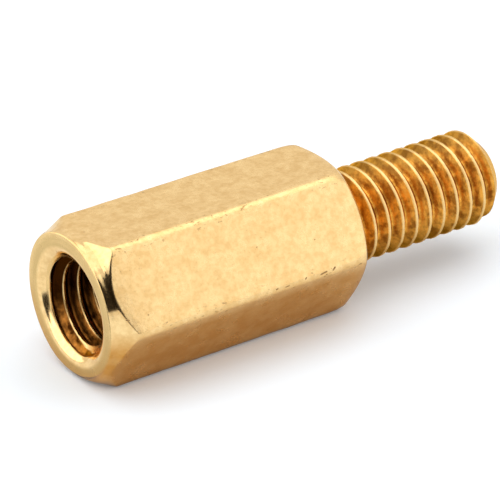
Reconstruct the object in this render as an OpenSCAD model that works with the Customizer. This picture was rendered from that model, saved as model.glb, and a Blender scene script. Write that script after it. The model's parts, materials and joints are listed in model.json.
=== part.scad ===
// Male-female hex standoff, turned in one piece from hexagonal brass bar.
// It lies along X: the stud points to +X, the threaded bore opens to -X, and
// one flat of the hexagon faces down. The origin is on the axis, in the plane
// of the shoulder that the stud grows out of.
// Both threads are M3 x 0.5. The solids are the plain cylinders they are cut on:
// the stud has its crest diameter, and the bore has its tapping diameter.

/* [Hex body] */
// Width across the flats
across_flats = 4.5; // [4:0.1:8]
// Length from the female end face to the shoulder
body_length = 9; // [8.5:0.5:50]
// How far the turned corners lie inside the bar's sharp ones
corner_break = 0.03; // [0.01:0.01:0.15]

/* [Female end] */
// How far the foot of the turned collar lies inside the flats
collar_inset = 0.02; // [0.01:0.01:0.1]
// Height of the collar, from the end face to the corner bevel
collar_height = 0.26; // [0.1:0.02:0.5]
// Angle between the collar's side and the axis
collar_taper_angle = 5; // [1:1:20]
// Width of the bevel on the collar's outer edge
edge_break = 0.03; // [0.01:0.01:0.08]
// Angle between the corner bevel and the axis
mouth_bevel_angle = 40; // [25:1:70]

/* [Shoulder end] */
// How far the seat's edge lies inside the flats
seat_inset = 0.35; // [0.05:0.05:0.6]
// Angle between the corner bevel and the axis
seat_bevel_angle = 60; // [25:1:75]

/* [Threaded bore] */
// Tapping diameter, which is the thread's minor diameter
bore_d = 2.5; // [2:0.05:2.8]
// Depth from the end face to the end of the straight wall
bore_depth = 6.5; // [3:0.1:7]
// Diameter of the countersink at the end face
countersink_d = 3.4; // [3:0.1:3.7]
// Full angle of the countersink
countersink_angle = 90; // [60:1:120]
// Full angle of the cone at the bottom of the drilled hole
drill_point_angle = 118; // [90:1:140]

/* [Threaded stud] */
// Diameter over the thread's crests
stud_d = 2.9; // [2.4:0.05:3.5]
// Length from the shoulder to the tip
stud_length = 5.5; // [3:0.5:20]
// Diameter of the flat at the tip
tip_d = 2.05; // [1:0.05:2.3]
// Angle between the tip's bevel and the axis
tip_bevel_angle = 45; // [20:1:60]

/* [Hidden] */
$fn = 96;
hex_sides = 6;
brass = [0.83, 0.66, 0.38];

flat_r = across_flats / 2;
corner_r = flat_r / cos(180 / hex_sides);
turned_r = corner_r - corner_break;

collar_foot_r = flat_r - collar_inset;
collar_front_r = collar_foot_r - collar_height * tan(collar_taper_angle);
mouth_bevel_length = (turned_r - collar_foot_r) / tan(mouth_bevel_angle);

seat_r = flat_r - seat_inset;
seat_bevel_length = (turned_r - seat_r) / tan(seat_bevel_angle);

bore_r = bore_d / 2;
countersink_r = countersink_d / 2;
countersink_depth = (countersink_r - bore_r) / tan(countersink_angle / 2);
drill_point_length = bore_r / tan(drill_point_angle / 2);

stud_r = stud_d / 2;
tip_r = tip_d / 2;
tip_bevel_length = (stud_r - tip_r) / tan(tip_bevel_angle);

// The stud's root runs this far into the body, which makes the two one solid.
root_overlap = 0.2;
// The bar and the bore's cutter run this far past the faces that they end at.
overrun = 0.5;

// Each module below stands on the axis Z, with the shoulder at Z = 0 and the
// stud above it. standoff() lays the whole piece down along X.

// The drawn bar, with a corner on each side and a flat towards -X and +X
module hex_bar() {
    translate([0, 0, -body_length - overrun])
        rotate([0, 0, 180 / hex_sides])
            cylinder(r = corner_r, h = body_length + 2 * overrun, $fn = hex_sides);
}

// What the lathe leaves of the bar: where a bevel meets a flat, it ends in an arc
module turned_outline() {
    end_z = -body_length;
    rotate_extrude()
        polygon([
            [0, end_z],
            [collar_front_r - edge_break, end_z],
            [collar_front_r, end_z + edge_break],
            [collar_foot_r, end_z + collar_height],
            [turned_r, end_z + collar_height + mouth_bevel_length],
            [turned_r, -seat_bevel_length],
            [seat_r, 0],
            [0, 0]
        ]);
}

module body() {
    intersection() {
        hex_bar();
        turned_outline();
    }
}

module threaded_stud() {
    rotate_extrude()
        polygon([
            [0, -root_overlap],
            [stud_r, -root_overlap],
            [stud_r, stud_length - tip_bevel_length],
            [tip_r, stud_length],
            [0, stud_length]
        ]);
}

// The blind hole, from outside the end face to the drill's point
module threaded_bore() {
    end_z = -body_length;
    wall_end_z = end_z + bore_depth;
    rotate_extrude()
        polygon([
            [0, end_z - overrun],
            [countersink_r, end_z - overrun],
            [countersink_r, end_z],
            [bore_r, end_z + countersink_depth],
            [bore_r, wall_end_z],
            [0, wall_end_z + drill_point_length]
        ]);
}

module standoff() {
    color(brass)
        rotate([0, 90, 0])
            difference() {
                union() {
                    body();
                    threaded_stud();
                }
                threaded_bore();
            }
}

standoff();
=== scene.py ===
# %% [markdown]
# # A brass hex standoff
# The piece is a male-female standoff, about as long as a fingernail is wide: a
# hexagonal bar of brass, bored and tapped at one end, with a threaded stud at
# the other. It is one piece of metal, so this lesson builds one closed mesh.
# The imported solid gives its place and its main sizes. Blender counts in metres,
# so `MM` turns a size in millimetres into Blender's.

import json
import math

import bmesh
import bpy
from mathutils import Matrix, Vector


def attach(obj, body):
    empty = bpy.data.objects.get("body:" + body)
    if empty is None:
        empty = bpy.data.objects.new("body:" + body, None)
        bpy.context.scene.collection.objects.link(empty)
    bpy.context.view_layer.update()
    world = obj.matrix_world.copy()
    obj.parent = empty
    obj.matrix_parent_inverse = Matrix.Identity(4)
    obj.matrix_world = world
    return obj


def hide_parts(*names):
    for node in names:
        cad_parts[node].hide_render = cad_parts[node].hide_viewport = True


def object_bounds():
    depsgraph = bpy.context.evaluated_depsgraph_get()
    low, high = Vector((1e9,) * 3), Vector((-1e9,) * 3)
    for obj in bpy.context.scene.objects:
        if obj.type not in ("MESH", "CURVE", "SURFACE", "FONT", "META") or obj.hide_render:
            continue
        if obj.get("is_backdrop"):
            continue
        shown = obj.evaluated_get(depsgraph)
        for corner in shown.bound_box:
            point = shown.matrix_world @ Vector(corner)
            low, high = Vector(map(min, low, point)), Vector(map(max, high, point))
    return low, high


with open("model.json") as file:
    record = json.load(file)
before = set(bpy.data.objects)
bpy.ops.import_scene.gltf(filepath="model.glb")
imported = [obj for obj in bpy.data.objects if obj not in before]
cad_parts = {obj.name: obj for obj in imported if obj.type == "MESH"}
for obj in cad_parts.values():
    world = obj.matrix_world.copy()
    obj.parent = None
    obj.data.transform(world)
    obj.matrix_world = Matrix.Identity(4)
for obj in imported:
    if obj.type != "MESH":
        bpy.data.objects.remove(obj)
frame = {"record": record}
cad_low, cad_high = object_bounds()

MM = 0.001


def in_mm(place, digits=3):
    """A place in metres as rounded millimetres, to be printed."""
    return [round(value / MM, digits) for value in place]


print("solid from", in_mm(cad_low), "to", in_mm(cad_high), "mm")

# %% [markdown]
# ## Camera
# The camera stands in front of the open end, a little above it. It is made
# first, because every later choice is judged through it. A long lens close to
# a small thing is what a macro shot has, so the far end looks only a little
# smaller than the near one.

# %% Place the camera
CAMERA_AZIMUTH = math.radians(-33.9)
CAMERA_ELEVATION = math.radians(28.18)
CAMERA_ROLL = math.radians(-0.76)
CAMERA_DISTANCE = 112.6 * MM
CAMERA_TARGET = Vector((-2.80, 0, -0.065)) * MM
LENS_MM = 277.5
NEAREST_SEEN = 1 * MM
FURTHEST_SEEN = 10.0


def aimed(azimuth, elevation, roll=0.0):
    """A turn that looks at the origin from that side. Azimuth 0 is the front, and positive goes to +X."""
    back = Vector((
        math.sin(azimuth) * math.cos(elevation),
        -math.cos(azimuth) * math.cos(elevation),
        math.sin(elevation),
    ))
    right = (-back).cross(Vector((0, 0, 1))).normalized()
    up = right.cross(-back)
    turned_right = right * math.cos(roll) + up * math.sin(roll)
    turned_up = up * math.cos(roll) - right * math.sin(roll)
    return Matrix((turned_right, turned_up, back)).transposed()


def add_camera():
    camera = bpy.data.objects.new("camera", bpy.data.cameras.new("camera"))
    bpy.context.scene.collection.objects.link(camera)
    turn = aimed(CAMERA_AZIMUTH, CAMERA_ELEVATION, CAMERA_ROLL)
    place = CAMERA_TARGET + turn.col[2] * CAMERA_DISTANCE
    camera.matrix_world = Matrix.Translation(place) @ turn.to_4x4()
    camera.data.lens = LENS_MM
    camera.data.clip_start = NEAREST_SEEN
    camera.data.clip_end = FURTHEST_SEEN
    bpy.context.scene.camera = camera
    return camera


camera = add_camera()
print("camera at", in_mm(camera.location, 1), "mm")

# %% [markdown]
# ## Sizes
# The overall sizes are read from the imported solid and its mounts, so this
# script follows the part. What the solid leaves out is named in the cells
# below. Everything in the outline is in millimetres, along the axis X and out
# from it. The tree further down turns it into metres.

# %% Read the main sizes from the part
mounts = {mount["name"]: mount for mount in frame["record"]["mounts"]}

flat_r = cad_high.z / MM
body_length = -cad_low.x / MM
stud_length = cad_high.x / MM
stud_r = mounts["threaded_stud"]["dims"]["r_mm"]
bore_r = mounts["threaded_bore"]["dims"]["r_mm"]
end_x = -body_length
print(f"flats {2 * flat_r:.2f}, body {body_length:.2f}, stud {stud_length:.2f} mm")

# %% [markdown]
# ### The turned ends
# At the open end the lathe leaves a short collar just inside the flats, and
# from there a bevel that runs out into the corners. At the shoulder a steeper
# bevel leaves a round seat, which is what presses on the board. A countersink
# leads the screw into the bore, and a cone leads the stud into its nut.
#
# The sizes that end in CUT say how far each edge is eased. A real edge is
# never sharp, and its small curve is what catches the light.

# %% Name the sizes of the turned ends
COLLAR_FRONT_R = flat_r - 0.04
COLLAR_FOOT_R = flat_r - 0.02
COLLAR_HEIGHT = 0.28
MOUTH_BEVEL = math.radians(40)
SEAT_R = flat_r - 0.35
SEAT_BEVEL = math.radians(60)
COUNTERSINK_R = 1.70
BORE_DEPTH = 6.5
HALF_DRILL_POINT = math.radians(118 / 2)
TIP_R = 1.025

RING_CUT = 0.05
MOUTH_CUT = 0.16
SEAT_CUT = 0.03
TIP_CUT = 0.05
diameters = {"collar": 2 * COLLAR_FRONT_R, "countersink": 2 * COUNTERSINK_R, "seat": 2 * SEAT_R}
print(", ".join(f"{name} {value:.2f} mm" for name, value in diameters.items()))

# %% [markdown]
# ### What is a little off true
# A piece like this is turned in seconds, and it shows. The bar runs a few
# hundredths off the lathe's axis, so the bevel is wider on one side of the
# ring than on the other. A shallow cone, the low cut, flattens the ring where
# it is lowest. Tumbling then rounds the six long corners.

# %% Name what is off true
CORNER_ROUNDING = 0.27
OFF_AXIS = 0.04
OFF_AXIS_ANGLE = math.radians(55)
LOW_CUT_R = 2.08
LOW_CUT_ANGLE = math.radians(245)

SIDES = 6
HALF_SIDE = math.pi / SIDES
corner_r = (flat_r - CORNER_ROUNDING) / math.cos(HALF_SIDE) + CORNER_ROUNDING
sharp_corner_r = flat_r / math.cos(HALF_SIDE)
print(f"over the corners {2 * corner_r:.2f} mm rounded, {2 * sharp_corner_r:.2f} mm sharp")

# %% [markdown]
# ### The threads
# Both threads are M3, so a turn climbs half a millimetre. The phase says
# where along the axis a crest passes the angle 0. The tap never reaches the
# bottom of a blind hole, so the bore's thread stops short of it.

# %% Name the sizes of the threads
PITCH = 0.5
STUD_THREAD_DEPTH = 0.27
STUD_THREAD_PHASE = 0.465
BORE_THREAD_DEPTH = 0.26
BORE_THREAD_PHASE = 0.10
TAPPED_DEPTH = 5.55
print(f"stud: {stud_length / PITCH:.0f} turns, bore: {TAPPED_DEPTH / PITCH:.0f} turns")

# %% [markdown]
# ## The rows of the surface
# The piece will be one grid, wrapped round the axis. A row of the grid is one
# turn round the piece, and the rows follow the outline from the bottom of the
# bore, out over the end face, along the bar and up the stud.
#
# There are three kinds of row. A face's row is a plain circle, with its place
# along the axis and its radius. A bar's row only has a place along the axis:
# one for the middle of a flat and one for a corner, because the bevel reaches
# further along the bar at a corner. A thread's row climbs with the helix and
# only knows its turn, such as 3.0 for the fourth crest, so it stays on a
# crest, a flank or a root all the way round.

# %% Make the three kinds of row
PLAIN, BAR, STUD, BORE = 0, 1, 2, 3


def face_row(x, r):
    return {"x": x, "corner_x": x, "r": r, "kind": PLAIN, "turn": 0.0}


def thread_row(kind, turn):
    return {"x": 0.0, "corner_x": 0.0, "r": 0.0, "kind": kind, "turn": turn}


def bar_row(x, corner_x):
    return {"x": x, "corner_x": corner_x, "r": 0.0, "kind": BAR, "turn": 0.0}


# %% [markdown]
# ### Rounded edges
# Where two faces meet, the rows follow a curve: it leaves the first face at
# one point, bends towards the sharp edge and meets the second face. Six steps
# are enough, also for the widest curve, at the countersink. A Bevel modifier
# could round the edges too, but the rows follow the outline anyway, so a few
# more of them are the plainer way.

# %% Round an edge
CURVE_STEPS = 6


def rounded_edge(before, edge, after):
    """Face rows along a curve that leaves one face at before and meets the next at after."""
    rows = []
    for step in range(CURVE_STEPS + 1):
        share = step / CURVE_STEPS
        x, r = before.lerp(edge, share).lerp(edge.lerp(after, share), share)
        rows.append(face_row(x, r))
    return rows


# %% [markdown]
# ### Rows of the faces
# The bore ends in the cone that a drill's point leaves. The end face is a
# ring, with the countersink's wide curve inside it and a small one outside.

# %% List the rows of the bore's bottom and the end face
DRILL_CUT = 0.05
CONE_SHARES = (0, 0.3, 0.7)
COLLAR_SLOPE = (COLLAR_FOOT_R - COLLAR_FRONT_R) / COLLAR_HEIGHT


def drill_point_rows():
    wall_end = end_x + BORE_DEPTH
    tip_x = wall_end + bore_r / math.tan(HALF_DRILL_POINT)
    cone = [face_row(tip_x + (wall_end - tip_x) * share, bore_r * share) for share in CONE_SHARES]
    before = Vector((wall_end + DRILL_CUT / math.tan(HALF_DRILL_POINT), bore_r - DRILL_CUT))
    return cone + rounded_edge(before, Vector((wall_end, bore_r)), Vector((wall_end - DRILL_CUT, bore_r)))


def end_face_rows():
    """The ring round the bore, with the curves on both its edges."""
    mouth = rounded_edge(
        Vector((end_x + MOUTH_CUT, COUNTERSINK_R - MOUTH_CUT)),
        Vector((end_x, COUNTERSINK_R)),
        Vector((end_x, COUNTERSINK_R + MOUTH_CUT)),
    )
    middle = [face_row(end_x, (COUNTERSINK_R + MOUTH_CUT + COLLAR_FRONT_R) / 2)]
    rim = rounded_edge(
        Vector((end_x, COLLAR_FRONT_R - RING_CUT)),
        Vector((end_x, COLLAR_FRONT_R)),
        Vector((end_x + RING_CUT, COLLAR_FRONT_R + RING_CUT * COLLAR_SLOPE)),
    )
    return mouth + middle + rim


print(len(drill_point_rows()), "rows at the bottom,", len(end_face_rows()), "on the end face")

# %% [markdown]
# ### Rows of the bar
# Where the bevels meet the bar, the rows lie close together, and along the
# plain middle they lie further apart. The sizes that end in SIDE say how far
# the close rows reach from such an edge. The shoulder and the tip are faces
# again.

# %% List the rows of the bar, the shoulder and the tip
BEVEL_SIDE = 0.05
FLAT_SIDE = 0.07
SEAT_SIDE = 0.03


def spread(start, stop, count):
    """Values from start towards stop, without stop."""
    return [start + (stop - start) * i / count for i in range(count)]


def bar_places(surface_r):
    """Places along the axis where the bar lies at surface_r. They crowd where a bevel meets it."""
    mouth_edge = end_x + COLLAR_HEIGHT + (surface_r - COLLAR_FOOT_R) / math.tan(MOUTH_BEVEL)
    seat_edge = (SEAT_R - surface_r) / math.tan(SEAT_BEVEL)
    last = -SEAT_CUT * math.cos(SEAT_BEVEL)
    return (
        spread(end_x + RING_CUT, mouth_edge - BEVEL_SIDE, count=8)[1:]
        + spread(mouth_edge - BEVEL_SIDE, mouth_edge + FLAT_SIDE, count=8)
        + spread(mouth_edge + FLAT_SIDE, seat_edge - FLAT_SIDE, count=40)
        + spread(seat_edge - FLAT_SIDE, seat_edge + SEAT_SIDE, count=6)
        + spread(seat_edge + SEAT_SIDE, last, count=5)
    )


def shoulder_rows():
    before = Vector((-SEAT_CUT * math.cos(SEAT_BEVEL), SEAT_R + SEAT_CUT * math.sin(SEAT_BEVEL)))
    seat = rounded_edge(before, Vector((0, SEAT_R)), Vector((0, SEAT_R - SEAT_CUT)))
    return seat + [face_row(0, (SEAT_R + stud_r) / 2)]


def tip_rows():
    before = Vector((stud_length - TIP_CUT, TIP_R + TIP_CUT))
    tip = rounded_edge(before, Vector((stud_length, TIP_R)), Vector((stud_length, TIP_R - TIP_CUT)))
    return tip + [face_row(stud_length, TIP_R / 2), face_row(stud_length, 0)]


print(len(bar_places(flat_r)), "rows on the bar,", len(shoulder_rows() + tip_rows()), "on shoulder and tip")

# %% [markdown]
# ### Rows of the threads
# A turn is listed by shares: 0 is the crest, 0.5 the root, and the second
# half mirrors the first. The shares lie close together at the crest's edge,
# because that bend is the bright line along the thread. The helix may start
# before the thread does and end after it: the tree holds such points back.

# %% List the turns and join all rows
STUD_TURN_SHARES = [0, 0.045, 0.057, 0.073, 0.16, 0.26, 0.35, 0.43]
BORE_TURN_SHARES = [0, 0.05, 0.09, 0.20, 0.33, 0.42]


def helix_turns(half_turn, phase, first_x, last_x):
    """Turns of all rows whose helix crosses the stretch from first_x to last_x."""
    shares = half_turn + [0.5] + [1 - share for share in reversed(half_turn[1:])]
    low = math.floor((first_x - phase) / PITCH) - 1
    high = math.ceil((last_x - phase) / PITCH)
    return [turn + share for turn in range(low, high) for share in shares] + [float(high)]


bore_turns = helix_turns(BORE_TURN_SHARES, BORE_THREAD_PHASE, end_x, end_x + TAPPED_DEPTH)
stud_turns = helix_turns(STUD_TURN_SHARES, STUD_THREAD_PHASE, 0, stud_length)
rows = (
    drill_point_rows()
    + [thread_row(BORE, turn) for turn in reversed(bore_turns)]
    + end_face_rows()
    + [bar_row(x, corner_x) for x, corner_x in zip(bar_places(flat_r), bar_places(corner_r))]
    + shoulder_rows()
    + [thread_row(STUD, turn) for turn in stud_turns]
    + tip_rows()
)
print(len(rows), "rows:", len(stud_turns), "on the stud,", len(bore_turns), "in the bore")

# %% [markdown]
# ### The rows as a chain of points
# A tree can't read a Python list, but it can read a mesh. So the rows become
# a chain of points: a point's three numbers hold the row's place at a flat,
# its place at a corner and its radius, and its kind and its turn are
# attributes.

# %% Store the rows as a chain of points


def row_chain(rows):
    mesh = bpy.data.meshes.new("rows")
    mesh.from_pydata(
        [(row["x"], row["corner_x"], row["r"]) for row in rows],
        [(i, i + 1) for i in range(len(rows) - 1)],
        [],
    )
    for name in ("kind", "turn"):
        numbers = mesh.attributes.new(name, "FLOAT", "POINT")
        numbers.data.foreach_set("value", [float(row[name]) for row in rows])
    chain = bpy.data.objects.new("brass_standoff", mesh)
    bpy.context.scene.collection.objects.link(chain)
    return chain


standoff = row_chain(rows)
print(len(standoff.data.vertices), "points in the chain")

# %% [markdown]
# ## Arithmetic on nodes
# A node tree computes with one node for each sum. Written out node by node,
# that hides the formula. The next cells make it as short as plain arithmetic,
# for the geometry tree and the materials alike. First, one call adds a node
# and fills its inputs.

# %% Add a node and fill its inputs


def plug(tree, socket, value):
    """Links a field to a socket, or sets the socket to a plain value."""
    if isinstance(value, Field):
        tree.links.new(value.socket, socket)
    else:
        socket.default_value = value


def add_node(tree, kind, inputs=(), **settings):
    """A new node with these settings. Inputs maps a socket's name or number to a field or a value."""
    node = tree.nodes.new(kind)
    for name, value in settings.items():
        setattr(node, name, value)
    for name, value in dict(inputs).items():
        plug(tree, node.inputs[name], value)
    return node


# %% [markdown]
# ### Fields
# What comes out of a node has another value at each point of the surface. A
# `Field` wraps such an output, and its methods let Python's own signs add the
# Math nodes.

# %% Let Python's signs add Math nodes


class Field:
    """A number or vector that varies over the surface."""

    def __init__(self, tree, socket):
        self.tree = tree
        self.socket = socket

    def math(self, operation, *values):
        return calculate(self.tree, operation, self, *values)

    def __add__(self, other):
        return self.math("ADD", other)

    def __radd__(self, other):
        return self.math("ADD", other)

    def __sub__(self, other):
        return self.math("SUBTRACT", other)

    def __rsub__(self, other):
        return calculate(self.tree, "SUBTRACT", other, self)

    def __mul__(self, other):
        return self.math("MULTIPLY", other)

    def __rmul__(self, other):
        return self.math("MULTIPLY", other)

    def __truediv__(self, other):
        return self.math("DIVIDE", other)


def calculate(tree, operation, *values):
    node = add_node(tree, "ShaderNodeMath", enumerate(values), operation=operation)
    return Field(tree, node.outputs[0])


# %% [markdown]
# Four short helpers are needed again and again: a limit on both sides, a
# choice, and the way from a vector to its three parts and back.

# %% Limit, choose, split and join


def clamped(field, low, high):
    return field.math("MAXIMUM", low).math("MINIMUM", high)


def choose(condition, if_true, if_false):
    """One of two fields: condition is 1 or 0."""
    return condition * if_true + (1 - condition) * if_false


def parts_of(field):
    """The X, Y and Z of a vector field."""
    node = add_node(field.tree, "ShaderNodeSeparateXYZ", {0: field})
    return [Field(field.tree, output) for output in node.outputs]


def vector_of(tree, x, y, z):
    return Field(tree, add_node(tree, "ShaderNodeCombineXYZ", {0: x, 1: y, 2: z}).outputs[0])


# %% [markdown]
# ## The tree that turns, mills and threads
# The piece could be made with a lathe modifier and boolean cuts. Booleans
# leave long thin faces, though, and a rounded edge where the bevel's cone
# meets a flat is hard to get from them. Here the surface is one grid instead:
# its columns go round the axis and its rows follow the outline, so every edge
# of the real piece lies along the grid and can be rounded.
#
# The tree's inputs are the sizes that a maker would ask for.

# %% Start the tree and its inputs
SIZES = {
    "Columns": 216,
    "Flat Radius": flat_r,
    "Corner Rounding": CORNER_ROUNDING,
    "Pitch": PITCH,
    "Stud Radius": stud_r,
    "Stud Thread Depth": STUD_THREAD_DEPTH,
    "Stud Phase": STUD_THREAD_PHASE,
    "Stud End": stud_length,
    "Stud Tip Radius": TIP_R,
    "Tip Cut": TIP_CUT,
    "Bore Radius": bore_r,
    "Bore Thread Depth": BORE_THREAD_DEPTH,
    "Bore Phase": BORE_THREAD_PHASE,
    "Mouth": end_x,
    "Collar Height": COLLAR_HEIGHT,
    "Collar Front Radius": COLLAR_FRONT_R,
    "Collar Foot Radius": COLLAR_FOOT_R,
    "Seat Radius": SEAT_R,
    "Mouth Radius": COUNTERSINK_R,
    "Mouth Cut": MOUTH_CUT,
    "Tapped Depth": TAPPED_DEPTH,
    "Off Axis": OFF_AXIS,
    "Off Axis Angle": OFF_AXIS_ANGLE,
    "Low Cut Radius": LOW_CUT_R,
    "Low Cut Angle": LOW_CUT_ANGLE,
    "Wobble": 0.004,
    "Torn": 0.035,
    "Noise Seed": 3.0,
}

tree = bpy.data.node_groups.new("turn_mill_and_thread", "GeometryNodeTree")
tree.interface.new_socket("Rows", in_out="INPUT", socket_type="NodeSocketGeometry")
for name, value in SIZES.items():
    kind = "NodeSocketInt" if name == "Columns" else "NodeSocketFloat"
    tree.interface.new_socket(name, in_out="INPUT", socket_type=kind).default_value = value
for name in ("Drawn Brass", "Turned Brass", "Cut Brass"):
    tree.interface.new_socket(name, in_out="INPUT", socket_type="NodeSocketMaterial")
tree.interface.new_socket("Piece", in_out="OUTPUT", socket_type="NodeSocketGeometry")
group_in = tree.nodes.new("NodeGroupInput")
size = {name: Field(tree, group_in.outputs[name]) for name in SIZES}
row_points = Field(tree, group_in.outputs["Rows"])
print(len(SIZES), "sizes go into the tree")

# %% [markdown]
# ### The grid
# The grid gets a row for each point of the chain, and its points are numbered
# column by column. So a division gives a point's column, and what is left over
# is its row. The nudge keeps a whole number from being rounded down to the one
# before it.

# %% Make the grid and number its rows and columns
NUDGE = 1e-5

row_count = Field(
    tree, add_node(tree, "GeometryNodeAttributeDomainSize", {"Geometry": row_points}).outputs["Point Count"]
)
grid = add_node(tree, "GeometryNodeMeshGrid", {"Vertices X": size["Columns"] + 1, "Vertices Y": row_count})
index = Field(tree, tree.nodes.new("GeometryNodeInputIndex").outputs[0])
column = (index / row_count + NUDGE).math("FLOOR")
row = index - column * row_count


def sampled(name, data_type="FLOAT"):
    """What the row chain says for this point's row: its position, or a named attribute."""
    if name == "position":
        source = tree.nodes.new("GeometryNodeInputPosition").outputs[0]
    else:
        source = add_node(
            tree, "GeometryNodeInputNamedAttribute", {"Name": name}, data_type=data_type
        ).outputs["Attribute"]
    sample = add_node(
        tree, "GeometryNodeSampleIndex",
        {"Geometry": row_points, "Value": Field(tree, source), "Index": row},
        data_type=data_type,
    )
    return Field(tree, sample.outputs[0])


print(SIZES["Columns"] + 1, "columns,", len(rows), "rows")

# %% [markdown]
# ### Round the axis
# The columns crowd towards the six corners, because that is where the surface
# bends. A sine does that: it is steep in the middle of a flat and level at its
# ends.

# %% Work out the angle and the flats
side = column / size["Columns"] * SIDES
side_number = (side + NUDGE).math("FLOOR")
across = (side - side_number) * 2 - 1
from_middle = (across * (math.pi / 2)).math("SINE") * HALF_SIDE
angle = side_number * (2 * HALF_SIDE) + HALF_SIDE + from_middle

flat_surface = size["Flat Radius"] / from_middle.math("COSINE")
from_corner = HALF_SIDE - from_middle.math("ABSOLUTE")
row_place, row_corner_place, row_r = parts_of(sampled("position", "FLOAT_VECTOR"))
print(SIZES["Columns"] // SIDES, "columns on each of", SIDES, "flats")

# %% [markdown]
# ### Wear on the corners
# Six equal roundings would look like a drawing. Each corner of a tumbled bar
# is worn a little differently, and most of all near the shoulder. So the
# rounding follows a noise that runs along the corner and differs from corner
# to corner. The last corner is the first one again: without the modulo the
# grid's two ends wouldn't meet.

# %% Say how far each corner is worn
WEAR_SCALE = 1.1
CORNERS_APART = 7.3
LEAST_WEAR = 0.5
SHOULDER_STRETCH = 1.1
SHOULDER_WEAR = 1.3

corner_number = (side_number + across.math("GREATER_THAN", 0)).math("MODULO", SIDES)
wear_place = vector_of(tree, row_place * WEAR_SCALE, corner_number * CORNERS_APART, size["Noise Seed"])
wear = Field(tree, add_node(tree, "ShaderNodeTexNoise", {"Vector": wear_place, "Scale": 1.0}).outputs[0])
towards_shoulder = clamped(row_place + SHOULDER_STRETCH, 0, 1)
more_worn = 1 + SHOULDER_WEAR * towards_shoulder * towards_shoulder
rounding = size["Corner Rounding"] * (LEAST_WEAR + wear) * more_worn
print(f"corners rounded by {LEAST_WEAR * CORNER_ROUNDING:.2f} mm and more")

# %% [markdown]
# The rounding is a true arc that touches both flats. A point on it lies where
# its ray from the axis meets that arc's circle, which takes one square root.

# %% Round the corners
arc_centre = (size["Flat Radius"] - rounding) / math.cos(HALF_SIDE)
sideways = arc_centre * from_corner.math("SINE")
arc_reach = (rounding * rounding - sideways * sideways).math("MAXIMUM", 0)
corner_surface = arc_centre * from_corner.math("COSINE") + arc_reach.math("SQRT")
arc_start = (size["Flat Radius"] - rounding) * math.tan(HALF_SIDE)
arc_half_width = (arc_start / size["Flat Radius"]).math("ARCTANGENT")
on_corner = from_middle.math("ABSOLUTE").math("GREATER_THAN", arc_half_width)
surface_r = choose(on_corner, corner_surface, flat_surface)

corner_share = (surface_r - size["Flat Radius"]) / (corner_r - flat_r)
plain_x = row_place + corner_share * (row_corner_place - row_place)
print(f"a corner stands {corner_r - flat_r:.2f} mm out from the flats")

# %% [markdown]
# ### What the lathe leaves of the bar
# The lathe turns a short collar, a bevel that runs out into the corners, and
# a steeper bevel at the shoulder. The surface is whichever lies nearer to the
# axis: the turned shape or the bar. Each shape is a plain sum, a radius that
# grows or shrinks along the axis. The low cut touches the piece on one side
# only, because its radius grows by the lift from there round to the others.

# %% Work out the turned shapes
LOW_CUT_LIFT = 0.3

from_mouth = plain_x - size["Mouth"]
collar_r = size["Collar Front Radius"] + from_mouth / size["Collar Height"] * (
    size["Collar Foot Radius"] - size["Collar Front Radius"]
)
mouth_bevel_r = size["Collar Foot Radius"] + (from_mouth - size["Collar Height"]) * math.tan(MOUTH_BEVEL)
seat_bevel_r = size["Seat Radius"] - plain_x * math.tan(SEAT_BEVEL)

lean = (angle - size["Off Axis Angle"]).math("COSINE")
off_axis = size["Off Axis"] * lean
from_low_side = 1 - (angle - size["Low Cut Angle"]).math("COSINE")
low_cut_r = size["Low Cut Radius"] + LOW_CUT_LIFT * from_low_side
print(f"bevels at {math.degrees(MOUTH_BEVEL):.0f} and {math.degrees(SEAT_BEVEL):.0f} degrees from the axis")

# %% [markdown]
# A smooth maximum fills the hollow between collar and bevel, which the tool's
# round nose leaves. It is widest on the side that the bar leans to and on the
# side across from it. Smooth minimums then pick the nearest shape and round
# the edges between them, as tumbling does: little where the bevel meets a
# flat, and much at the shoulder. The powers say how narrow a side is.

# %% Turn the bar
HOLLOW = 0.11
SIDES_HOLLOW, SIDES_POWER = 0.35, 3.0
ACROSS_HOLLOW, ACROSS_POWER = 0.45, 14.0
LOW_CUT_EDGE = 0.06
FLAT_EDGE = 0.045
SHOULDER_EDGE = 0.36

to_both_sides = (lean * lean).math("POWER", SIDES_POWER)
across_from_lean = (0 - lean).math("MAXIMUM", 0).math("POWER", ACROSS_POWER)
hollow = HOLLOW + SIDES_HOLLOW * to_both_sides + ACROSS_HOLLOW * across_from_lean
turned_r = (collar_r.math("SMOOTH_MAX", mouth_bevel_r, hollow) + off_axis).math(
    "SMOOTH_MIN", low_cut_r + from_mouth, LOW_CUT_EDGE
)
bar_r = turned_r.math("SMOOTH_MIN", surface_r, FLAT_EDGE).math("SMOOTH_MIN", seat_bevel_r, SHOULDER_EDGE)
print(f"edges rounded over {FLAT_EDGE} mm at the bevel and {SHOULDER_EDGE} mm at the shoulder")

# %% [markdown]
# The ring's outer edge moves with the collar, or a step would show between
# the two. The ring's inner edge belongs to the bore and stays where it is.

# %% Let the ring's edge follow the collar
RIM_EDGE = 0.05
RIM_DEPTH = 0.1
STILL_R = 1.85
SHIFT_WIDTH = 0.3

rim_shift = off_axis.math("SMOOTH_MIN", low_cut_r - size["Collar Front Radius"], RIM_EDGE)
at_rim = (row_place - size["Mouth"]).math("LESS_THAN", RIM_DEPTH)
ring_r = row_r + at_rim * clamped((row_r - STILL_R) / SHIFT_WIDTH, 0, 1) * rim_shift
print(f"the ring stays in place up to radius {STILL_R} mm")

# %% [markdown]
# ### Along the helix
# Both threads are right-handed with a pitch of half a millimetre. A point's
# place in its turn, from 0 on the crest to 0.5 in the root, gives its depth:
# level on the crest, straight down the flank, level again in the root. Smooth
# limits round the two bends, as a worn die does. The cone at the stud's tip
# and the countersink then cut into the first and last turns.

# %% Cut the threads
CONE_EDGE = 0.02

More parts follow.
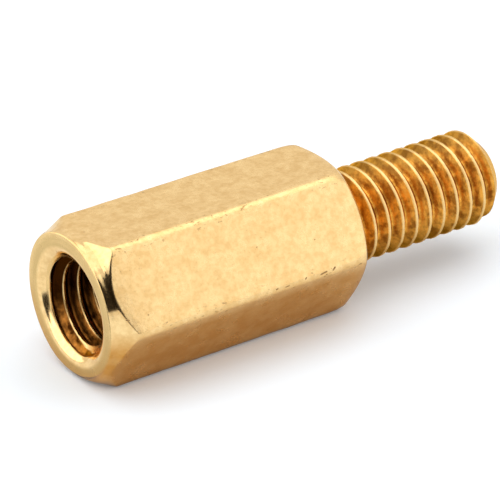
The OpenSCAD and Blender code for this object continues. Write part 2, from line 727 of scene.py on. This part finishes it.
turn = sampled("turn")
round_share = angle / (2 * math.pi)


def helix_x(phase, first_x, last_x):
    return clamped(phase + size["Pitch"] * (turn + round_share), first_x, last_x)


def notch(x, phase, crest_half, root_half, rounding):
    """How deep the thread is at x: 0 on the crest and 1 in the root."""
    place = (x - phase) / size["Pitch"] - round_share
    from_crest = (place - place.math("ROUND")).math("ABSOLUTE")
    slope = (from_crest - crest_half) / (0.5 - crest_half - root_half)
    return slope.math("SMOOTH_MAX", 0, rounding).math("SMOOTH_MIN", 1, rounding)


stud_x = helix_x(size["Stud Phase"], 0, size["Stud End"] - size["Tip Cut"])
stud_notch = notch(stud_x, size["Stud Phase"], crest_half=0.056, root_half=0.05, rounding=0.025)
thread_out = size["Stud Radius"] - size["Stud Thread Depth"] * stud_notch
tip_cone = size["Stud Tip Radius"] + size["Stud End"] - stud_x
stud_out = thread_out.math("SMOOTH_MIN", tip_cone, CONE_EDGE)

deep_end = size["Mouth"] + size["Tapped Depth"]
bore_x = helix_x(size["Bore Phase"], size["Mouth"] + size["Mouth Cut"], deep_end)
bore_notch = notch(bore_x, size["Bore Phase"], crest_half=0.065, root_half=0.06, rounding=0.07)
run_out = clamped((deep_end - bore_x) / size["Pitch"], 0, 1)
thread_in = size["Bore Radius"] + size["Bore Thread Depth"] * bore_notch * run_out
mouth_cone = size["Mouth Radius"] + size["Mouth"] - bore_x
bore_out = thread_in.math("SMOOTH_MAX", mouth_cone, CONE_EDGE)
print(f"threads cut {STUD_THREAD_DEPTH} mm deep on the stud and {BORE_THREAD_DEPTH} mm in the bore")

# %% [markdown]
# ### One surface from four kinds of row
# The row's kind picks the formula for its place and its radius. Where the
# tip's cone or the countersink has cut the thread away, the metal is turned
# and bright, so the thread's own surface is marked too: its depth later
# carries the dark finish of the grooves.

# %% Put the kinds together
SAME_KIND = 0.1
CUT_AWAY_WIDTH = 0.04

kind = sampled("kind")
is_bar, is_stud, is_bore = [kind.math("COMPARE", number, SAME_KIND) for number in (BAR, STUD, BORE)]
x_mm = choose(is_stud, stud_x, choose(is_bore, bore_x, plain_x))
r_mm = choose(is_stud, stud_out, choose(is_bore, bore_out, choose(is_bar, bar_r, ring_r)))


def past(field, limit, width):
    """0 where the field is below the limit, and 1 where it is above, with a rise that wide between them."""
    return clamped((field - limit) / width + 0.5, 0, 1)


own_surface = (
    is_stud * past(tip_cone - thread_out, 0, CUT_AWAY_WIDTH)
    + is_bore * run_out * past(thread_in - mouth_cone, CONE_EDGE, CUT_AWAY_WIDTH)
)
depth = own_surface * (is_stud * stud_notch + is_bore * bore_notch)
on_thread = is_stud + is_bore
print(len(tree.nodes), "nodes so far")

# %% [markdown]
# ### Into place
# The bar was drawn through a die and tumbled, so nothing on it is quite true:
# a slow noise moves each point in or out by a few thousandths. The threads
# get a finer and stronger one, because a worn die tears soft brass a little.

# %% Set the positions
noise_place = vector_of(
    tree, x_mm + size["Noise Seed"], r_mm * angle.math("COSINE"), r_mm * angle.math("SINE")
)
wobble_noise = add_node(tree, "ShaderNodeTexNoise", {"Vector": noise_place, "Scale": 1.6, "Detail": 1.0})
tear_noise = add_node(tree, "ShaderNodeTexNoise", {"Vector": noise_place, "Scale": 6.0, "Detail": 2.0})
wobble = size["Wobble"] * (Field(tree, wobble_noise.outputs[0]) - 0.5)
torn = size["Torn"] * own_surface * (Field(tree, tear_noise.outputs[0]) - 0.5)
wobbled_r = r_mm * (1 + wobble / size["Flat Radius"]) + torn
place = vector_of(
    tree,
    x_mm * MM,
    wobbled_r * angle.math("COSINE") * MM,
    wobbled_r * angle.math("SINE") * MM,
)
placed = add_node(
    tree, "GeometryNodeSetPosition", {"Geometry": Field(tree, grid.outputs["Mesh"]), "Position": place}
)
print("wobble", SIZES["Wobble"], "mm, torn metal", SIZES["Torn"], "mm")

# %% [markdown]
# ### Close the mesh
# Three numbers are stored on the points: which finish a point has, how deep
# it lies in a thread, and how near it is to one of the bar's corners. The
# materials read the last two. Rows that fell together are merged, and the
# grid's first and last columns meet, which closes the mesh.

# %% Store the numbers and merge the points
DRAWN, TURNED, CUT = 0, 1, 2
ON_FLAT_WIDTH = 0.01
EDGE_REACH = 0.12
MERGE_DISTANCE = 2e-7


def stored(geometry, name, value):
    """The geometry with one more named number on its points."""
    node = add_node(
        tree, "GeometryNodeStoreNamedAttribute",
        {"Geometry": geometry, "Name": name, "Value": value},
        data_type="FLOAT", domain="POINT",
    )
    return Field(tree, node.outputs[0])


on_flat = is_bar * past(turned_r.math("MINIMUM", seat_bevel_r) - surface_r, 0, ON_FLAT_WIDTH)
finish_number = choose(on_thread, CUT, choose(on_flat, DRAWN, TURNED))
named = stored(Field(tree, placed.outputs[0]), "finish", finish_number)
named = stored(named, "depth", depth)
named = stored(named, "edge", is_bar * clamped(1 - from_corner / EDGE_REACH, 0, 1))
merged = add_node(tree, "GeometryNodeMergeByDistance", {"Geometry": named, "Distance": MERGE_DISTANCE})
smooth = add_node(tree, "GeometryNodeSetShadeSmooth", {"Geometry": Field(tree, merged.outputs[0])})
real = add_node(tree, "GeometryNodeRealizeInstances", {"Geometry": Field(tree, smooth.outputs[0])})
print("stored: finish, depth and edge")

# %% [markdown]
# ### Give it its materials
# Every face starts as drawn brass. Faces whose finish number is higher are
# then painted over. A face's number is the mean of its points', and the two
# limits give a face that lies between two finishes to the turned one.

# %% Set the materials
TURNED_FROM = 0.4
CUT_FROM = 1.6

named_finish = add_node(tree, "GeometryNodeInputNamedAttribute", {"Name": "finish"}, data_type="FLOAT")
finish = Field(tree, named_finish.outputs["Attribute"])


def painted(geometry, name, selection=True):
    """The geometry with the material of that input on the selected faces."""
    node = add_node(
        tree, "GeometryNodeSetMaterial",
        {"Geometry": geometry, "Selection": selection, "Material": Field(tree, group_in.outputs[name])},
    )
    return Field(tree, node.outputs[0])


piece = painted(Field(tree, real.outputs[0]), "Drawn Brass")
piece = painted(piece, "Turned Brass", finish.math("GREATER_THAN", TURNED_FROM))
piece = painted(piece, "Cut Brass", finish.math("GREATER_THAN", CUT_FROM))
group_out = tree.nodes.new("NodeGroupOutput")
tree.links.new(piece.socket, group_out.inputs["Piece"])
print(len(tree.nodes), "nodes in the tree")

# %% [markdown]
# ## Brass
# Brass is a metal: apart from its tint, its colour is that of whatever it
# mirrors. So the finish is less about colour than about how the mirror is
# broken up. Three finishes cover the piece, one for each way that the metal
# was worked: drawn through a die on the flats, turned on the lathe at both
# ends, and cut in the threads. One material with masks could do the same, but
# three are easier to read and to change.
#
# All of them are built from noise on object coordinates, in millimetres. A
# pit then has its real size, and the pattern stays on the metal from any side.
# What depends on the place uses a stretch, such as LOW_DOWN further down: a
# pair of places, in millimetres, between which `steep` goes from 0 to 1.

# %% Mix colours and make noise


def mixed(tree, share, low, high):
    """A colour between two colours."""
    node = add_node(tree, "ShaderNodeMix", data_type="RGBA")
    plug(tree, node.inputs["Factor"], share)
    for name, value in (("A", low), ("B", high)):
        socket = [i for i in node.inputs if i.name == name and i.type == "RGBA"][0]
        plug(tree, socket, value if isinstance(value, Field) else (*value, 1))
    return Field(tree, [o for o in node.outputs if o.type == "RGBA"][0])


def noise(tree, place, scale, detail=2.0, roughness=0.5):
    node = add_node(
        tree, "ShaderNodeTexNoise",
        {"Vector": place, "Scale": scale, "Detail": detail, "Roughness": roughness},
    )
    return Field(tree, node.outputs[0])


def steep(field, low, high):
    """0 at low, 1 at high and a straight line between them. It falls where high is the smaller number."""
    return clamped((field - low) / (high - low), 0, 1)


# %% [markdown]
# ### A finish in millimetres
# Every finish starts in the same way, with a new material and its one shader.
# Object coordinates are in metres, so they are scaled: a noise of scale 2 then
# has about two blotches to a millimetre. A bump turns a height into a slope
# that only light sees, and the surface itself stays where it is.

# %% Start a finish in millimetres


def new_material(name):
    material = bpy.data.materials.new(name)
    material.use_nodes = True
    tree = material.node_tree
    return material, tree, tree.nodes["Principled BSDF"]


def object_mm(tree):
    """Object coordinates in millimetres, as a vector and as its three parts."""
    place = Field(tree, tree.nodes.new("ShaderNodeTexCoord").outputs["Object"])
    scaled = add_node(tree, "ShaderNodeVectorMath", {0: place, "Scale": 1 / MM}, operation="SCALE")
    vector = Field(tree, scaled.outputs[0])
    return vector, *parts_of(vector)


def attribute(tree, name):
    return Field(tree, add_node(tree, "ShaderNodeAttribute", attribute_name=name).outputs["Fac"])


def bumped(tree, shader, height_mm):
    bump = add_node(tree, "ShaderNodeBump", {"Height": height_mm * MM, "Distance": 1.0, "Strength": 1.0})
    tree.links.new(bump.outputs[0], shader.inputs["Normal"])


# %% [markdown]
# ### Pits
# Small brass parts are tumbled by the hundred, and their corners punch pits
# into each other. A Voronoi texture cuts space into cells. Only a cell whose
# random colour comes out low has a pit, so pits are as scattered as real
# ones, and `share` says how many there are. A pit's outside and its floor are
# distances from the middle, measured in cells. A painted image could show
# pits as well, but it would need a flat map of the piece, with seams.

# %% Make pits
PIT_OUTSIDE = 0.30
PIT_FLOOR = 0.12


def pits(tree, place, scale, share):
    """1 in the middle of a pit, and 0 outside."""
    cells = add_node(tree, "ShaderNodeTexVoronoi", {"Vector": place, "Scale": scale})
    near = steep(Field(tree, cells.outputs["Distance"]), PIT_OUTSIDE, PIT_FLOOR)
    chance = parts_of(Field(tree, cells.outputs["Color"]))[0]
    return near * chance.math("LESS_THAN", share)


# %% [markdown]
# ### Scratches
# Some marks are too plain to be left to chance: the two that cross on the
# bevel, and a row of dents along the low corner. Each is a short line given
# by its ends, in millimetres, and its half-width. The distance to that line
# says how deep in the mark a point lies, and its floor takes up that share of
# the half-width. Cut into the mesh, marks this fine would need many more
# faces, and a bump shows them as well.

# %% List the scratches
SCRATCHES = [
    ((-8.74, -2.26, 0.60), (-8.47, -2.33, 0.47), 0.022),
    ((-8.60, -2.27, 0.56), (-8.56, -2.33, 0.42), 0.018),
    ((-3.62, -2.55, 0.02), (-3.57, -2.55, 0.03), 0.028),
    ((-3.30, -2.55, 0.00), (-3.18, -2.55, 0.01), 0.026),
    ((-2.60, -2.55, 0.04), (-2.57, -2.55, 0.07), 0.028),
    ((-2.06, -2.55, 0.02), (-1.86, -2.55, 0.05), 0.032),
    ((-1.63, -2.54, 0.03), (-1.56, -2.54, 0.09), 0.038),
]
SCRATCH_FLOOR = 0.4


def scratch(place_parts, start, stop, width):
    """1 on the line from start to stop, and 0 beside it."""
    along = Vector(stop) - Vector(start)
    off = [part - value for part, value in zip(place_parts, start)]
    share = clamped(sum(o * a for o, a in zip(off, along)) / along.length_squared, 0, 1)
    square = sum((o - share * a) * (o - share * a) for o, a in zip(off, along))
    return steep(square.math("SQRT"), width, width * SCRATCH_FLOOR)


def all_scratches(place_parts):
    first, *others = [scratch(place_parts, *line) for line in SCRATCHES]
    for mark in others:
        first = first.math("MAXIMUM", mark)
    return first


print(len(SCRATCHES), "scratches")

# %% [markdown]
# ### Knocks and dirt along the corners, and painted shade
# A corner takes more knocks than a flat. They come in clusters, where one
# noise is high, and inside a cluster a finer noise picks the spots. On the
# two corners that the piece lies on, a dark line is painted shade where they
# meet the floor.

# %% Make knocks


def corner_knocks(tree, place, x, y, z, edge):
    clusters = steep(noise(tree, place, scale=1.3), 0.38, 0.50)
    drawn_out = vector_of(tree, x * 0.5, y, z)
    spots = steep(noise(tree, drawn_out, scale=11.0, detail=3.0, roughness=0.6), 0.60, 0.67)
    return clusters * steep(edge, 0.0, 0.6) * spots


# %% [markdown]
# ### The colour under the wear
# Plain brass that has been handled isn't one colour. Two noises, one as wide
# as a flat and one as wide as a corner, mix a pale and a deep brass. Below
# the middle the brass is painted browner, in patches: painted shade for the
# shaded floor that the low side mirrors. Dirt sits in every pit and scratch,
# and its dark colour also paints shade along the bottom.

# %% Mix the worn colour and the painted shade
BRASS_LIGHT = (0.91, 0.64, 0.30)
BRASS_DEEP = (0.76, 0.49, 0.20)
# A browner brass, painted shade on the low side.
LOW_SHADE_COLOUR = (0.545, 0.25, 0.046)
# The darkest colour is dirt in pits and scratches, and painted shade along the bottom.
GRIME_AND_SHADE = (0.22, 0.10, 0.03)
LOW_DOWN = (0.1, -0.5)


def worn_and_shaded_colour(tree, place, z, dirt_and_shade, low_shade_share=1.0):
    """The mottled colour, and the wide noise, which also varies the roughness."""
    cloud = noise(tree, place, scale=2.2, detail=3.0)
    mottle = noise(tree, place, scale=6.5, detail=3.0, roughness=0.6)
    pale = 0.5 * steep(cloud, 0.38, 0.62) + 0.5 * steep(mottle, 0.40, 0.60)
    colour = mixed(tree, pale, BRASS_DEEP, BRASS_LIGHT)
    patches = steep(noise(tree, place, scale=1.9, detail=4.0, roughness=0.65), 0.40, 0.62)
    # Painted shade: below the middle the colour turns to the browner brass.
    low_down = steep(z, *LOW_DOWN)
    colour = mixed(tree, low_shade_share * low_down * (0.78 + 0.22 * patches), colour, LOW_SHADE_COLOUR)
    return mixed(tree, dirt_and_shade, colour, GRIME_AND_SHADE), cloud


def set_metal(tree, shader, colour, roughness, edge_tint):
    shader.inputs["Metallic"].default_value = 1.0
    shader.inputs["Specular Tint"].default_value = edge_tint
    plug(tree, shader.inputs["Base Color"], colour)
    plug(tree, shader.inputs["Roughness"], roughness)


# %% [markdown]
# ### Drawn brass
# The flats have the die's surface. They are nearly flat mirrors, so the
# smallest waves show: the bump has a slow wave as wide as the flat, a finer
# grain, and faint lines along the bar, which the die left. Wear breaks up the
# corners. The metal's colour at grazing angles, its edge tint, stays a little
# warm, because a thin lacquer lies on it. All heights are in millimetres.

# %% Make the drawn finish
EDGE_TINT = (0.92, 0.86, 0.78, 1)
DRAWN_ROUGHNESS = 0.20
CORNER_UNDERSIDE = (-1.98, -2.15)


def drawn_finish():
    material, tree, shader = new_material("drawn_brass")
    place, x, y, z = object_mm(tree)
    bent = vector_of(tree, x + 0.15 * noise(tree, place, scale=7.0), y, z)
    spots = pits(tree, bent, scale=9.0, share=0.008)
    small_spots = pits(tree, bent, scale=20.0, share=0.05)
    edge = attribute(tree, "edge")
    knocks = corner_knocks(tree, place, x, y, z, edge)
    marks = all_scratches((x, y, z)).math("MAXIMUM", knocks * 0.7)
    # Painted shade: the two corners next to the floor are darkened where they meet it.
    under = edge * steep(z, *CORNER_UNDERSIDE)
    dirt_and_shade = (spots * 0.4 + small_spots * 0.3).math("MAXIMUM", marks * 0.9).math("MAXIMUM", under * 0.8)
    colour, cloud = worn_and_shaded_colour(tree, place, z, dirt_and_shade)
    set_metal(tree, shader, colour, DRAWN_ROUGHNESS + 0.12 * cloud + 0.2 * spots, EDGE_TINT)

    slow_wave = 0.006 * noise(tree, place, scale=2.4, detail=2.0)
    grain = 0.0020 * noise(tree, place, scale=9.0, detail=3.0, roughness=0.6)
    die_lines = 0.0006 * noise(tree, vector_of(tree, x * 0.12, y, z), scale=30.0, detail=1.0)
    worn_edge = 0.004 * edge * noise(tree, place, scale=5.0)
    hollows = 0.004 * spots + 0.0015 * small_spots + 0.006 * marks
    bumped(tree, shader, slow_wave + grain + die_lines + worn_edge - hollows)
    return material


drawn_brass = drawn_finish()
print(drawn_brass.name, "has", len(drawn_brass.node_tree.nodes), "nodes")

# %% [markdown]
# ### Turned brass
# Where the lathe's tool has passed, the metal is brighter and smoother than
# the bar, with fine rings round the axis. The height of the rings depends
# only on x plus the radius, which changes on a face and on a bevel alike.
#
# The ring round the bore is the one face that was parted off, not polished.
# It is duller and deeper in colour, in rings, and its outer edge is rubbed
# bright again.

# %% Make the rings of the lathe's tool
RING_BRASS = (0.575, 0.39, 0.15)
RING_BRASS_LOW = (0.52, 0.32, 0.11)
RING_LOW_DOWN = (-0.6, -2.0)
RUBBED_RIM = (1.95, 2.2)
RINGS_PER_MM = 16
RING_HEIGHT = 0.0004


def turning_marks(tree, x, radius):
    """The height of the fine rings, in millimetres."""
    along = vector_of(tree, (x + radius) * RINGS_PER_MM, 0, 0)
    return RING_HEIGHT * noise(tree, along, scale=1.0, detail=1.0)


def ring_colour(tree, colour, on_ring, radius, y, z):
    """The colour with the ring's duller brass over it."""
    rings = noise(tree, vector_of(tree, radius * 9, y * 0.5, z * 0.5), scale=1.0, detail=2.0)
    share = (0.7 + 0.3 * steep(rings, 0.35, 0.65)) * (1 - 0.35 * steep(radius, *RUBBED_RIM))
    # Painted shade: lower down, the ring's brass turns browner.
    dull = mixed(tree, steep(z, *RING_LOW_DOWN), RING_BRASS, RING_BRASS_LOW)
    return mixed(tree, on_ring * share, colour, dull)


# %% [markdown]
# The rest of the turned metal has the worn colour of the flats, with its
# painted shade. Close to the axis, in the countersink, at the shoulder and on
# the tip, the painted shade of the low side is left out.

# %% Make the turned finish
TURNED_ROUGHNESS = 0.08
UNDERSIDE = (-2.06, -2.20)
LOW_SHADE_FROM_R = (1.84, 1.94)
RING_FACE = (end_x + 0.03, end_x + 0.005)
RING_INSIDE = (1.74, 1.86)


def turned_finish():
    material, tree, shader = new_material("turned_brass")
    place, x, y, z = object_mm(tree)
    radius = (y * y + z * z).math("SQRT")
    spots = pits(tree, place, scale=14.0, share=0.05)
    marks = all_scratches((x, y, z))
    # Painted shade: the lowest turned metal, next to the floor, is darkened.
    under = steep(z, *UNDERSIDE)
    dirt_and_shade = (spots * 0.4).math("MAXIMUM", marks * 0.9).math("MAXIMUM", under * 0.9)
    # The painted shade of the low side stops short of the axis.
    low_shade_reach = steep(radius, *LOW_SHADE_FROM_R)
    colour, cloud = worn_and_shaded_colour(tree, place, z, dirt_and_shade, low_shade_share=0.95 * low_shade_reach)
    on_ring = steep(x, *RING_FACE) * steep(radius, *RING_INSIDE)
    colour = ring_colour(tree, colour, on_ring, radius, y, z)
    set_metal(tree, shader, colour, TURNED_ROUGHNESS + 0.12 * cloud + 0.12 * on_ring, EDGE_TINT)

    waves = 0.003 * noise(tree, place, scale=2.6, detail=2.0)
    bumped(tree, shader, waves + turning_marks(tree, x, radius) - 0.002 * spots - 0.006 * marks)
    return material


turned_brass = turned_finish()
print(turned_brass.name, "has", len(turned_brass.node_tree.nodes), "nodes")

# %% [markdown]
# ### Cut brass
# The die and the tap leave torn metal in the grooves. It holds oil and
# oxidises first, so the grooves are orange and brown in blotches, drawn out
# round the piece by squeezing x; the bright orange blotches also stand in
# for glints between the flanks, painted in. The bore's grooves are nearly
# black, painted shade of the deep hole.

# %% Mix the colour of the grooves
GROOVE_DARK = (0.34, 0.13, 0.016)
GROOVE_BRIGHT = (0.88, 0.42, 0.065)
GROOVE_SHADED = (0.27, 0.135, 0.03)
BORE_SHADE = (0.03, 0.008, 0.001)
BORE_SHADE_PALE = (0.42, 0.16, 0.028)
SHADED_ABOVE = (0.9, 1.3)
SHADED_BELOW = (-0.5, -1.2)
PALE_BELOW = (-0.2, -1.1)
BORE_FROM = (-2.0, -2.5)


def groove_colour(tree, x, z, patches):
    """Blotches on the stud, shaded at the top and below, and painted shade in the bore."""
    # Oxide makes the blotches, and the bright orange ones are also painted glints between the flanks.
    stud = mixed(tree, steep(patches, 0.40, 0.60), GROOVE_DARK, GROOVE_BRIGHT)
    shaded = steep(z, *SHADED_ABOVE) * 0.45 + steep(z, *SHADED_BELOW) * 0.7
    stud = mixed(tree, shaded, stud, GROOVE_SHADED)
    # Painted shade fills the bore's grooves, paler in patches towards the bottom.
    pale_below = steep(z, *PALE_BELOW) * steep(patches, 0.36, 0.66)
    bore = mixed(tree, pale_below, BORE_SHADE, BORE_SHADE_PALE)
    return mixed(tree, steep(x, *BORE_FROM), stud, bore)


# %% [markdown]
# Tumbling has rubbed the crests bright again. The stored depth tells crest
# and groove apart, from a few hundredths of the full depth on: the crest has
# fine rings from the tool, and the groove a rough surface from tearing.

# %% Make the cut finish
WARM_EDGE_TINT = (0.80, 0.57, 0.30, 1)
CREST = (0.82, 0.55, 0.23)
CREST_ROUGHNESS = 0.24
GROOVE_FROM = (0.02, 0.14)
TEAR_HEIGHT = 0.015


def cut_finish():
    material, tree, shader = new_material("cut_brass")
    place, x, y, z = object_mm(tree)
    in_groove = steep(attribute(tree, "depth"), *GROOVE_FROM)
    streaky = vector_of(tree, x * 1.6, y, z)
    patches = noise(tree, streaky, scale=2.3, detail=4.0, roughness=0.65)
    colour = mixed(tree, in_groove, CREST, groove_colour(tree, x, z, patches))
    set_metal(tree, shader, colour, CREST_ROUGHNESS + 0.10 * in_groove, WARM_EDGE_TINT)

    torn_metal = TEAR_HEIGHT * noise(tree, streaky, scale=4.0, detail=4.0, roughness=0.65)
    tool_rings = turning_marks(tree, x, (y * y + z * z).math("SQRT"))
    bumped(tree, shader, in_groove * torn_metal + (1 - in_groove) * tool_rings)
    return material


cut_brass = cut_finish()
print(cut_brass.name, "has", len(cut_brass.node_tree.nodes), "nodes")

# %% [markdown]
# ## From tree to mesh
# The tree runs once, its result becomes a plain mesh, and the modifier goes.
# That way the piece can be exported, and nothing depends on the tree later.
# The first material slot is the grid's own and empty, so it goes too.

# %% Run the tree and keep its mesh


def run_tree(piece, tree, values):
    """Gives the piece the mesh that the tree makes from those values."""
    modifier = piece.modifiers.new("make", "NODES")
    modifier.node_group = tree
    for item in tree.interface.items_tree:
        if item.item_type == "SOCKET" and item.in_out == "INPUT" and item.name in values:
            modifier[item.identifier] = values[item.name]
    depsgraph = bpy.context.evaluated_depsgraph_get()
    mesh = bpy.data.meshes.new_from_object(piece.evaluated_get(depsgraph))
    mesh.materials.pop(index=0)
    piece.modifiers.remove(modifier)
    piece.data = mesh


finishes = {"Drawn Brass": drawn_brass, "Turned Brass": turned_brass, "Cut Brass": cut_brass}
run_tree(standoff, tree, {**SIZES, **finishes})
print(len(standoff.data.polygons), "faces in", len(standoff.data.materials), "finishes")

# %% [markdown]
# ### Is it closed?
# A solid piece of metal has no open edge. If the grid runs the other way, its
# volume comes out negative, and its faces are turned outwards.

# %% Turn the faces outwards and count what is wrong
SLIVER_AREA = 1e-14


def close_check(piece):
    """Turns the faces outwards, and says how many edges and faces are at fault."""
    bm = bmesh.new()
    bm.from_mesh(piece.data)
    if bm.calc_volume(signed=True) < 0:
        bmesh.ops.reverse_faces(bm, faces=bm.faces)
        bm.to_mesh(piece.data)
    counts = {
        "open edges": sum(1 for edge in bm.edges if len(edge.link_faces) != 2),
        "loose": sum(1 for vertex in bm.verts if not vertex.link_faces),
        "slivers": sum(1 for face in bm.faces if face.calc_area() < SLIVER_AREA),
        "triangles": sum(len(face.verts) - 2 for face in bm.faces),
        "mm3": round(bm.calc_volume(signed=True) / MM ** 3, 1),
    }
    bm.free()
    return counts


print(close_check(standoff))

# %% [markdown]
# ## The studio
# Everything round the piece is staged: it is there for the picture, and isn't
# part of the piece. A floor, a lamp or a card has a plain material, and some
# of them look different to the camera and to a mirror than they light.

# %% Stage cards and tell rays apart
FAINT_SHEEN = 0.2


def plain_material(name, colour, roughness):
    material, _, shader = new_material(name)
    shader.inputs["Base Color"].default_value = (*colour, 1)
    shader.inputs["Roughness"].default_value = roughness
    shader.inputs["Specular IOR Level"].default_value = FAINT_SHEEN
    return material


def staged(name, points, faces, material):
    """A card, lamp or floor: it stands round the piece and is no part of it."""
    mesh = bpy.data.meshes.new(name)
    mesh.from_pydata(points, [], faces)
    mesh.materials.append(material)
    card = bpy.data.objects.new(name, mesh)
    bpy.context.scene.collection.objects.link(card)
    card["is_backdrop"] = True
    return card


def seen_directly(tree):
    """1 where the camera or a mirror-like surface looks, and 0 for light that falls on things."""
    rays = tree.nodes.new("ShaderNodeLightPath")
    seen = Field(tree, rays.outputs["Is Camera Ray"])
    for ray in ("Is Glossy Ray", "Is Transmission Ray"):
        seen = seen.math("MAXIMUM", Field(tree, rays.outputs[ray]))
    return seen


# %% [markdown]
# ### Floor
# The piece lies on pale paper. Paper in a soft light is a little grey, and
# more light would wash out the brass. So the paper glows a little for rays
# that come from the camera or off a mirror, and for no others: it looks
# white, also in the metal, and still takes the piece's shadow. A shadow
# catcher would keep the shadow too, but the metal would mirror no floor.

# %% Lay the floor
PAPER_WHITE = (0.85, 0.90, 0.95)
PAPER_ROUGHNESS = 0.6
PAPER_GLOW = 0.10
HALF_FLOOR = 1.5

paper = plain_material("floor_paper", PAPER_WHITE, PAPER_ROUGHNESS)
paper_shader = paper.node_tree.nodes["Principled BSDF"]
paper_shader.inputs["Emission Color"].default_value = (1, 1, 1, 1)
plug(paper.node_tree, paper_shader.inputs["Emission Strength"], PAPER_GLOW * seen_directly(paper.node_tree))

corners = [(x * HALF_FLOOR, y * HALF_FLOOR, 0) for x, y in ((-1, -1), (1, -1), (1, 1), (-1, 1))]
floor = staged("floor", corners, [(0, 1, 2, 3)], paper)
floor.location.z = cad_low.z
print(f"floor at {cad_low.z / MM:.2f} mm")

# %% [markdown]
# ### Sky
# An even sky gives the soft light of a white tent. It is dim enough that no
# pale surface clips, and white where it is looked at. An image of a studio
# would give more to mirror, but here the panels do that, one by one.

# %% Light the sky
SKY_LIGHT = 0.66

bpy.context.scene.world = bpy.data.worlds.new("studio")
bpy.context.scene.world.use_nodes = True
sky = bpy.context.scene.world.node_tree
sky.nodes.clear()
background = add_node(
    sky, "ShaderNodeBackground",
    {"Color": (1, 1, 1, 1), "Strength": SKY_LIGHT + (1 - SKY_LIGHT) * seen_directly(sky)},
)
sky_out = sky.nodes.new("ShaderNodeOutputWorld")
sky.links.new(background.outputs[0], sky_out.inputs["Surface"])
print("sky light", SKY_LIGHT)

# %% [markdown]
# ### Panels
# Metal under an even sky looks like plastic, because there is nothing to
# mirror. So curved panels hang round the piece, and each stands where some
# face looks. A panel is given by the part of the sky that it covers, between
# two azimuths and two elevations. Area lamps would light the piece too, but
# they are flat, and a card can cover exactly what one face mirrors.

# %% Make a panel
PANEL_COLUMNS = 12
PANEL_ROWS = 6


def toward(azimuth, elevation):
    """The unit vector from the piece to that side."""
    return aimed(math.radians(azimuth), math.radians(elevation)).col[2]


def panel(name, azimuths, elevations, distance, material):
    """A curved card at that distance, between two azimuths and two elevations."""
    points = [
        toward(
            azimuths[0] + (azimuths[1] - azimuths[0]) * i / PANEL_COLUMNS,
            elevations[0] + (elevations[1] - elevations[0]) * j / PANEL_ROWS,
        ) * distance
        for j in range(PANEL_ROWS + 1) for i in range(PANEL_COLUMNS + 1)
    ]
    step = PANEL_COLUMNS + 1
    faces = [
        (j * step + i, (j + 1) * step + i, (j + 1) * step + i + 1, j * step + i + 1)
        for j in range(PANEL_ROWS) for i in range(PANEL_COLUMNS)
    ]
    card = staged(name, points, faces, material)
    card.visible_camera = False
    return card


def glow(name, brightness):
    """A material that only shines."""
    material, _, shader = new_material(name)
    shader.inputs["Base Color"].default_value = (0, 0, 0, 1)
    shader.inputs["Emission Color"].default_value = (1, 1, 1, 1)
    shader.inputs["Emission Strength"].default_value = brightness
    return material


# %% [markdown]
# ### The panels of the studio
# - The left softbox lights the left half of the bevel and the countersink.
#   The dim card below it keeps the bevel's lower end from turning white.
# - The back softbox is what the top flat mirrors.
# - The front flat mirrors the card on the right.
# - Three roof panels close the tent. They draw the bright line along the
#   upper corners.

# %% Hang the panels of the studio
# Each has a name, its azimuths and elevations in degrees, its distance in metres and its brightness.
STUDIO_PANELS = [
    ("left_softbox", (-146, -73), (27, 56), 0.40, 1.9),
    ("left_low_card", (-150, -80), (14, 27), 0.42, 0.5),
    ("back_softbox", (30, 150), (46, 58), 0.45, 1.65),
    ("right_card", (26, 80), (0, 44), 0.42, 1.32),
    ("left_roof_softbox", (-178, -40), (46, 68), 0.46, 1.9),
    ("right_roof_softbox", (40, 150), (58, 68), 0.46, 1.9),
    ("roof_softbox", (-180, 180), (68, 90), 0.46, 1.6),
]
for name, azimuths, elevations, distance, brightness in STUDIO_PANELS:
    panel(name, azimuths, elevations, distance, glow(name + "_glow", brightness))
print(len(STUDIO_PANELS), "panels round the piece")

# %% [markdown]
# ### The panels at the open end
# A polished end also mirrors dark things, such as the lens and the edge of
# the table, and they are what makes it look like metal.
#
# Two dark cards stand beside the bevel, less than 4 mm from it. The wider one
# makes the black band across the bevel, and the one below it the thin line
# where the bevel meets the flat. Further off they would have to be larger,
# and the flats would mirror much more of them from other sides.
#
# The other two stand in front of the bore. The low dark card makes the
# smudge in the countersink, and the mouth card the bright crescent below it.
# None of the four lights anything or casts a shadow.

# %% Set the panels at the open end
CARD_BLACK = (0.012, 0.008, 0.004)
CARD_ROUGHNESS = 0.9
MOUTH_GLOW = 2.2
MOUTH = Vector((cad_low.x, 0, 0))
BESIDE_BEVEL = MOUTH + Vector((0.15, -1.85, 1.35)) * MM

black = plain_material("black_card", CARD_BLACK, CARD_ROUGHNESS)
mouth_glow = glow("mouth_glow", MOUTH_GLOW)

# Each has a name, its azimuths and elevations in degrees, its distance in millimetres from
# a centre, its material and that centre.
END_PANELS = [
    ("dark_card", (-64, 29), (-3, 61), 3.6, black, BESIDE_BEVEL),
    ("dark_edge_card", (19, 29), (-20, -3), 3.6, black, BESIDE_BEVEL),
    ("low_dark_card", (-104, -54), (-21, 1), 6, black, MOUTH),
    ("mouth_card", (-158, -76), (-4, 34), 12, mouth_glow, MOUTH),
]
for name, azimuths, elevations, distance_mm, material, centre in END_PANELS:
    card = panel(name, azimuths, elevations, distance_mm * MM, material)
    card.location = centre
    card.visible_diffuse = False
    card.visible_shadow = False
print(len(END_PANELS), "panels at the open end")

# %% [markdown]
# ## Into the part
# The plain view transform shows a colour as it is written. The piece rides on
# the part's one body and stands for its solid.

# %% Set the picture's look
bpy.context.scene.view_settings.view_transform = "Standard"
print("view transform", bpy.context.scene.view_settings.view_transform)

# %% Tie the piece to the part
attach(standoff, "root")
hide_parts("standoff")
print(standoff.name, "rides on root and replaces standoff")

# %% Write the sizes and finish
new_low, new_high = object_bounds()
print("mesh from", in_mm(new_low), "to", in_mm(new_high), "mm")
